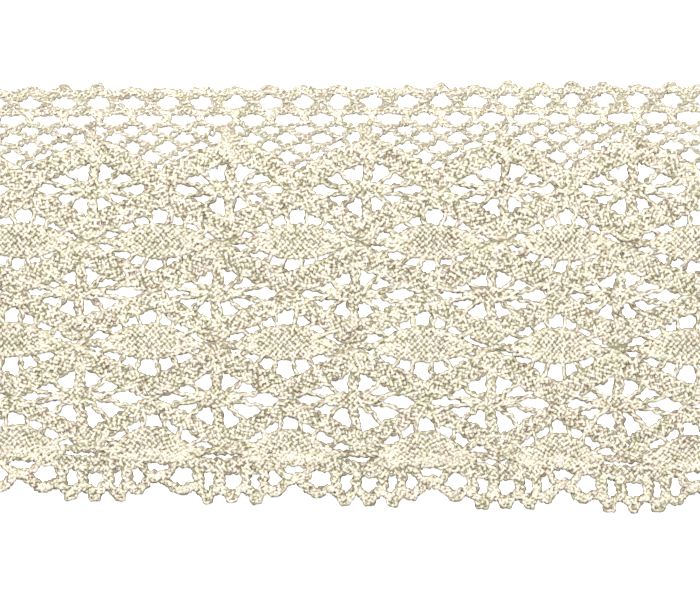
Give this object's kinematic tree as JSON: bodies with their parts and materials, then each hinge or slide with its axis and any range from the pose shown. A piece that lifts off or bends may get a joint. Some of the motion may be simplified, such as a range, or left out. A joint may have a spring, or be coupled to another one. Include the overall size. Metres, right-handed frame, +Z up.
{
  "type": "lace trim length",
  "caption": "Flat cut length of ecru cotton lace edging with a picot footing, rows of rosettes and woven leaves, and a scalloped picot heading.",
  "frame": {"origin": "middle of the trim's length and width, on the surface it lies on", "axes": "+X along the trim's length, +Y across it towards the footing that is sewn on, +Z up out of the face"},
  "size_m": [0.144, 0.075, 0.0012],
  "materials": {
    "ecru_cotton": "matt, softly hairy cotton thread"
  },
  "bodies": {
    "root": {"lace": "ecru_cotton"}
  },
  "joints": []
}
